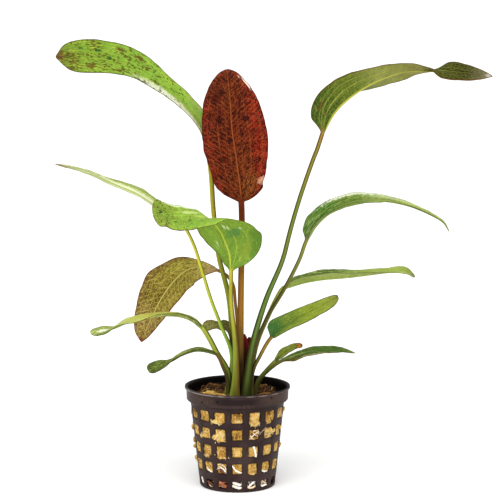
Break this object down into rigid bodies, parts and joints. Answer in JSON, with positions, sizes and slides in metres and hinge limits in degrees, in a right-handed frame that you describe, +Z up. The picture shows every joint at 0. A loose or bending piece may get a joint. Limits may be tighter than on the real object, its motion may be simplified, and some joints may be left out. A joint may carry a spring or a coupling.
{
  "type": "potted amazon sword plant",
  "caption": "Live Amazon sword aquarium plant: a rosette of long-stalked, lance-shaped green and red leaves rooted in mineral wool in a small round openwork plastic pot.",
  "frame": {"origin": "middle of the pot's foot, on the surface it stands on", "axes": "+Z up along the pot's axis, +X to the viewer's right as the picture shows the plant, +Y to the back, away from the picture's camera"},
  "size_m": [0.2093, 0.0795, 0.2212],
  "materials": {
    "pot_plastic": "satin",
    "mineral_wool": "matte",
    "roots": "matte",
    "rootstock": "matte",
    "leaf_spotted": "satin",
    "leaf_green": "satin",
    "leaf_olive": "satin",
    "leaf_red": "satin",
    "leaf_purple": "satin"
  },
  "bodies": {
    "root": {"grid_pot": "pot_plastic", "wool_plug": "mineral_wool", "root_mat": "roots", "rootstock": "rootstock", "leaf_tall_spotted": "leaf_spotted", "leaf_tall_red": "leaf_red", "leaf_tall_twisted": "leaf_green", "leaf_mid_right": "leaf_green", "leaf_low_right": "leaf_green", "leaf_oval_right": "leaf_green", "leaf_short_right": "leaf_green", "leaf_lowest_right": "leaf_green", "leaf_folded_front": "leaf_spotted", "leaf_long_left": "leaf_green", "leaf_drooping_left": "leaf_olive", "leaf_small_left": "leaf_olive", "leaf_arching_left": "leaf_green", "leaf_lowest_left": "leaf_green", "young_leaf_red": "leaf_red", "young_leaf_purple": "leaf_purple"}
  },
  "joints": []
}
